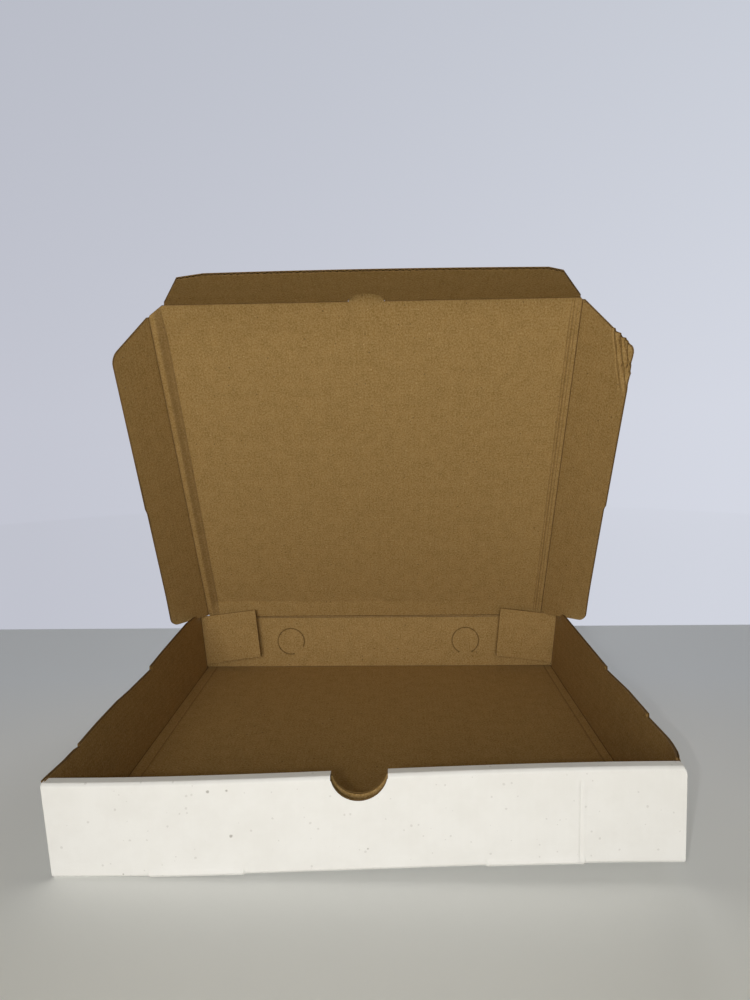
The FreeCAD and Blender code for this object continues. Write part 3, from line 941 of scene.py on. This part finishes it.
# Lid front flap
# The tuck flap along the lid's front crease. It folds in towards the tray, its ends are slanted
# and clipped, and it has the half-moon hole that the tongue leaves.
FRONT_FOLD = -joints["front_flap_crease"]["range_deg"][0]
FRONT_FLAP_WIDTH = 34.5 * MM
FRONT_FLAP_SLANT = 16.3 * MM
FRONT_FLAP_LEFT_CLIP = 14.5 * MM
FRONT_FLAP_RIGHT_CLIP = 8.0 * MM
FRONT_FLAP_CLIP = 3.5 * MM
FRONT_FLAP_RIGHT_IN = 1.2 * MM
FRONT_FLAP_BOW = 1.2 * MM
front_edge_of_lid = lid_panel.moved(0, LID_LENGTH)
front_flap = lid_panel.moved(0, LID_LENGTH, fold=FRONT_FOLD)


def front_flap_set(co):
    """The flap bows gently along its free edge."""
    share = co.y / FRONT_FLAP_WIDTH
    bow = FRONT_FLAP_BOW * share * (1 - (co.x / LID_HALF) ** 2)
    return Vector((co.x, co.y, co.z - bow))


def make_front_flap():
    clipped = FRONT_FLAP_WIDTH - FRONT_FLAP_CLIP
    slope = FRONT_FLAP_SLANT / clipped
    left, right = CORNER_CUT_IN - LID_HALF, LID_HALF - FRONT_FLAP_RIGHT_IN
    start, end = left + slope * CREASE_REACH, right - slope * CREASE_REACH
    left_corner, right_corner = left + FRONT_FLAP_SLANT, right - FRONT_FLAP_SLANT
    outline = [(start, CREASE_REACH), (end, CREASE_REACH), (right_corner, clipped),
               (right_corner - FRONT_FLAP_RIGHT_CLIP, FRONT_FLAP_WIDTH),
               (left_corner + FRONT_FLAP_LEFT_CLIP, FRONT_FLAP_WIDTH), (left_corner, clipped)]
    hole = TONGUE_RADIUS + TONGUE_GAP
    flap = add_board("front_flap_board", front_flap, outline, rows=14, liner_cells=(60, 20),
                     warp=front_flap_set, cuts=[cut_with(round_cutter(TONGUE_ACROSS, 0, hole))])
    flap = set_down(flap, front_flap)
    flap.name = "front_tuck_flap"
    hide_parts("lid_front_flap")
    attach(flap, "front_flap")
    for number, (low, high) in enumerate(
            ((start, TONGUE_ACROSS - hole), (TONGUE_ACROSS + hole, end))):
        crease = set_down(add_crease(
            f"front_flap_crease_strip_{number}", front_edge_of_lid, low, high, CREASE_REACH,
            FRONT_FOLD, rows=20), front_edge_of_lid)
        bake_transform(crease)


make_front_flap()


# Lid side flaps
# One flap along each side of the lid, slanted at both ends, rounded at its corners and splayed
# out. The right one was knocked at its front corner, which is crumpled along the flutes.
FLAP_WIDTHS = {"left": 33.0 * MM, "right": 35.0 * MM}
FRONT_WIDTHS = {"left": 30.0 * MM, "right": 35.0 * MM}
FLAP_ROOT = 1.6 * MM
FLAP_REAR = 18.0 * MM
FLAP_REAR_ROUND = 8.0 * MM
FLAP_FRONT = 20.0 * MM
FLAP_FRONT_ROUND = 8.0 * MM
FLAP_FRONT_IN = 1.2 * MM
JOG_AT = 110.0 * MM
JOG = 0.9 * MM
JOG_START = (0.0, 50.0 * MM)
JOG_STEP = 1.5 * MM
FLAP_BOW = {"left": 0.0, "right": -0.6 * MM}
CRUSH_ALONG, CRUSH_OUT = 214.0 * MM, 21.9 * MM
CRUSH_LEAN = (0.3, 0.95)
CRUSH_FADE = (182.0 * MM, 196.0 * MM)
CRUSH_BACK, CRUSH_SHORTER = 0.2, 0.14
CRUSH_WANDER = 0.25 * MM
# Distance past the first fold, depth and half width, in mm
CRUSH_LINES = ((0.3, -0.7, 0.8), (2.0, 0.7, 1.0), (3.4, -1.0, 0.8), (5.0, 0.7, 1.1),
               (6.2, -1.0, 0.7), (8.0, 0.7, 1.0), (9.4, -0.8, 0.8))


def flap_outline(side, sign, start):
    """The flap's outline in its own frame, with its lid end at the sign's side."""
    width, front_width = FLAP_WIDTHS[side], FRONT_WIDTHS[side]
    front = LID_LENGTH - FLAP_FRONT
    tip = LID_LENGTH - (CORNER_CUT_BACK if side == "left" else FLAP_FRONT_IN)
    root_front = tip - (tip - front) / front_width * start
    root_rear = FLAP_ROOT + (FLAP_REAR - FLAP_ROOT) / width * start
    rear_corner, front_corner = (FLAP_REAR, width), (front, front_width)
    points = [(root_rear, start)]
    points += rounded_corner(points[0], rear_corner, front_corner, FLAP_REAR_ROUND)
    points += rounded_corner(rear_corner, front_corner, (root_front, start), FLAP_FRONT_ROUND)
    points.append((root_front, start))
    return anticlockwise([(x * sign, y) for x, y in points])


def flap_set(side, sign):
    """A slight bow, the small jog in the free edge, and the crushed corner on the right."""

    def rule(co):
        along, out = co.x * sign, co.y
        share = out / FLAP_WIDTHS[side]
        run = min(1.0, max(0.0, along / LID_LENGTH))
        bow = FLAP_BOW[side] * share * math.sin(math.pi * run)
        trim = JOG * share ** 4 * ramp(along, JOG_AT, JOG_AT - JOG_STEP) * ramp(along, *JOG_START)
        z = co.z - bow
        if side == "right":
            past = CRUSH_LEAN[0] * (along - CRUSH_ALONG) + CRUSH_LEAN[1] * (out - CRUSH_OUT)
            fade = ramp(along, *CRUSH_FADE)
            for line, depth, width in CRUSH_LINES:
                bent = line + 0.05 * (out - CRUSH_OUT) / MM * (line - 4) / 4
                wander = CRUSH_WANDER * math.sin(along / MM * 0.45 + line * 2)
                z += score_dip(past - bent * MM + wander, width * MM, depth * MM) * fade
            z -= CRUSH_BACK * max(0.0, past) * fade
            trim += CRUSH_SHORTER * max(0.0, past) * fade
        return Vector((co.x, out - trim, z))

    return rule


def make_side_flap(side):
    sign, turn = (1, 90) if side == "left" else (-1, -90)
    fold = -joints[side + "_flap_crease"]["range_deg"][0]
    at = LID_HALF * (-1 if side == "left" else 1)
    edge = lid_panel.moved(at, 0, turn=turn)
    panel = lid_panel.moved(at, 0, turn=turn, fold=fold)
    outline = flap_outline(side, sign, CREASE_REACH)
    cells, rows = ((150, 60), 60) if side == "right" else ((48, 24), 24)
    flap = add_board(side + "_flap_board", panel, outline, rows=rows, liner_cells=cells,
                     warp=flap_set(side, sign))
    flap = set_down(flap, panel)
    flap.name = side + "_side_flap"
    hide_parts("lid_" + side + "_flap")
    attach(flap, side + "_flap")
    ends = [x * sign for x, y in outline if abs(y - CREASE_REACH) < 1e-7]
    spans = sorted((min(ends) * sign, max(ends) * sign))
    crease = set_down(add_crease(
        side + "_flap_crease_strip", edge, *spans, CREASE_REACH, fold, rows=40), edge)
    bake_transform(crease)


for side in ("left", "right"):
    make_side_flap(side)


# Studio
# A pale table that turns to a paler ground behind the box, a soft light in front, a weak flash at
# the camera and a light behind, and the camera where the photograph was taken from.
TABLE_TONE = (0.81, 0.845, 0.905)
# Painted shade: the table turns darker and warmer towards the camera
TABLE_SHADED_NEAR = (0.785, 0.75, 0.60)
GROUND_TONE = (0.80, 0.82, 0.90)
# Painted shade: the backdrop's glow is darker at the left and, in the sky, towards the top
BACKDROP_LEFT = (0.55, 0.565, 0.64)
BACKDROP_RIGHT = (0.66, 0.685, 0.765)
UPPER_SHADE = (0.88, 0.89, 0.89)
SKY_TONE = (0.135, 0.132, 0.118)
TABLE_END = 0.222
TABLE_FADE = (0.1, -0.45)
GLOW_FROM = 393 * MM
GLOW_REACH, GLOW_BEHIND, GLOW_TURN = (0.5, 1.1), 0.93, (-0.5, 0.45)
SKY_TURN, SKY_RISE = (-0.45, 0.41), (0.0, 0.45)
BLACK, PLAIN_WHITE = (0.0, 0.0, 0.0), (1.0, 1.0, 1.0)
CAMERA_AT = (13.91 * MM, -393.1 * MM, 183.3 * MM)
CAMERA_PITCH, CAMERA_YAW, CAMERA_ROLL = 0.1183, 0.0284, -0.0147
CAMERA_FOCUS_PIXELS = 734.7
PICTURE_HEIGHT = 1000.0


def make_table():
    """The table, and beyond it and far out a glow that only the camera sees, as pale as the sky."""
    deselect()
    bpy.ops.mesh.primitive_plane_add(size=8.0, location=(0, 0, 0))
    table = bpy.context.object
    table.name = "table"
    material = bpy.data.materials.new("table_top")
    material.use_nodes = True
    nodes, links = material.node_tree.nodes, material.node_tree.links
    shader = nodes["Principled BSDF"]
    shader.inputs["Roughness"].default_value = 0.7
    place = nodes.new("ShaderNodeTexCoord")
    split = nodes.new("ShaderNodeSeparateXYZ")
    links.new(place.outputs["Object"], split.inputs[0])
    beyond = math_node(nodes, links, "GREATER_THAN", split.outputs["Y"], TABLE_END)
    # painted shade, darker and warmer towards the camera
    near = spread(material, split.outputs["Y"], *TABLE_FADE)
    tabletop = mix_colour(material, near, TABLE_TONE, TABLE_SHADED_NEAR)
    lit = mix_colour(material, beyond, tabletop, GROUND_TONE)
    depth = math_node(nodes, links, "ADD", split.outputs["Y"], GLOW_FROM)
    turned = math_node(nodes, links, "DIVIDE", split.outputs["X"], depth)
    sideways = spread(material, turned, *GLOW_TURN)
    backdrop = mix_colour(material, sideways, BACKDROP_LEFT, BACKDROP_RIGHT)
    reach = nodes.new("ShaderNodeVectorMath")
    reach.operation = "LENGTH"
    links.new(place.outputs["Object"], reach.inputs[0])
    far = spread(material, reach.outputs["Value"], *GLOW_REACH)
    behind = math_node(nodes, links, "MULTIPLY", beyond, GLOW_BEHIND)
    seen = nodes.new("ShaderNodeLightPath").outputs["Is Camera Ray"]
    glow = math_node(nodes, links, "MULTIPLY", math_node(nodes, links, "MAXIMUM", far, behind), seen)
    links.new(mix_colour(material, glow, lit, BLACK), shader.inputs["Base Color"])
    links.new(mix_colour(material, glow, BLACK, backdrop), shader.inputs["Emission Color"])
    shader.inputs["Emission Strength"].default_value = 1.0
    shader.inputs["Specular IOR Level"].default_value = 0.0
    table.data.materials.append(material)


def add_light(name, place, target, size, power, tone):
    light = bpy.data.lights.new(name, "AREA")
    light.shape = "DISK"
    light.size = size
    light.energy = power
    light.color = tone
    lamp = bpy.data.objects.new(name, light)
    bpy.context.scene.collection.objects.link(lamp)
    lamp.location = place
    way = Vector(target) - Vector(place)
    lamp.rotation_euler = way.to_track_quat("-Z", "Y").to_euler()


def make_camera():
    """Yaw to the left, pitch down and roll, in radians, from level and facing the box's front."""
    camera = bpy.data.cameras.new("photo_view")
    camera.sensor_fit = "VERTICAL"
    camera.sensor_height = 36.0
    camera.lens = CAMERA_FOCUS_PIXELS / PICTURE_HEIGHT * camera.sensor_height
    camera.clip_start = 0.01
    holder = bpy.data.objects.new("photo_view", camera)
    bpy.context.scene.collection.objects.link(holder)
    turn = Matrix.Rotation(CAMERA_YAW, 4, "Z")
    turn @= Matrix.Rotation(math.pi / 2 - CAMERA_PITCH, 4, "X")
    turn @= Matrix.Rotation(CAMERA_ROLL, 4, "Z")
    holder.matrix_world = Matrix.Translation(CAMERA_AT) @ turn
    bpy.context.scene.camera = holder


make_table()
add_light("key", place=(-0.14, -1.69, 0.56), target=(0.0, 0.0, 0.08), size=0.9, power=17.9,
          tone=(1.0, 0.99, 0.985))
add_light("flash", place=(-7 * MM, -393 * MM, 177.5 * MM), target=(0.0, 0.0, 0.06),
          size=6 * MM, power=0.2, tone=(1.0, 0.99, 0.97))
add_light("back", place=(0.25, 1.8, 0.62), target=(0.0, 0.1, 0.1), size=1.2, power=13.0,
          tone=PLAIN_WHITE)
make_camera()
world = bpy.data.worlds.new("studio")
bpy.context.scene.world = world
world.use_nodes = True
nodes, links = world.node_tree.nodes, world.node_tree.links
path = nodes.new("ShaderNodeLightPath")
mirrored = math_node(nodes, links, "ADD", path.outputs["Is Glossy Ray"],
                     path.outputs["Is Transmission Ray"])
seen = math_node(nodes, links, "ADD", path.outputs["Is Camera Ray"], mirrored, clamp=True)
way = nodes.new("ShaderNodeTexCoord").outputs["Generated"]
split = nodes.new("ShaderNodeSeparateXYZ")
links.new(way, split.inputs[0])
# Painted shade across the backdrop, darker at the left and towards the top
sideways = spread(world, split.outputs["X"], *SKY_TURN)
upwards = spread(world, split.outputs["Z"], *SKY_RISE)
backdrop = mix_colour(world, sideways, BACKDROP_LEFT, BACKDROP_RIGHT)
upper = mix_colour(world, upwards, PLAIN_WHITE, UPPER_SHADE)
shaded = nodes.new("ShaderNodeVectorMath")
shaded.operation = "MULTIPLY"
links.new(backdrop, shaded.inputs[0])
links.new(upper, shaded.inputs[1])
links.new(mix_colour(world, seen, SKY_TONE, shaded.outputs[0]), nodes["Background"].inputs["Color"])
nodes["Background"].inputs["Strength"].default_value = 1.0
bpy.context.scene.view_settings.view_transform = "Standard"

deselect()
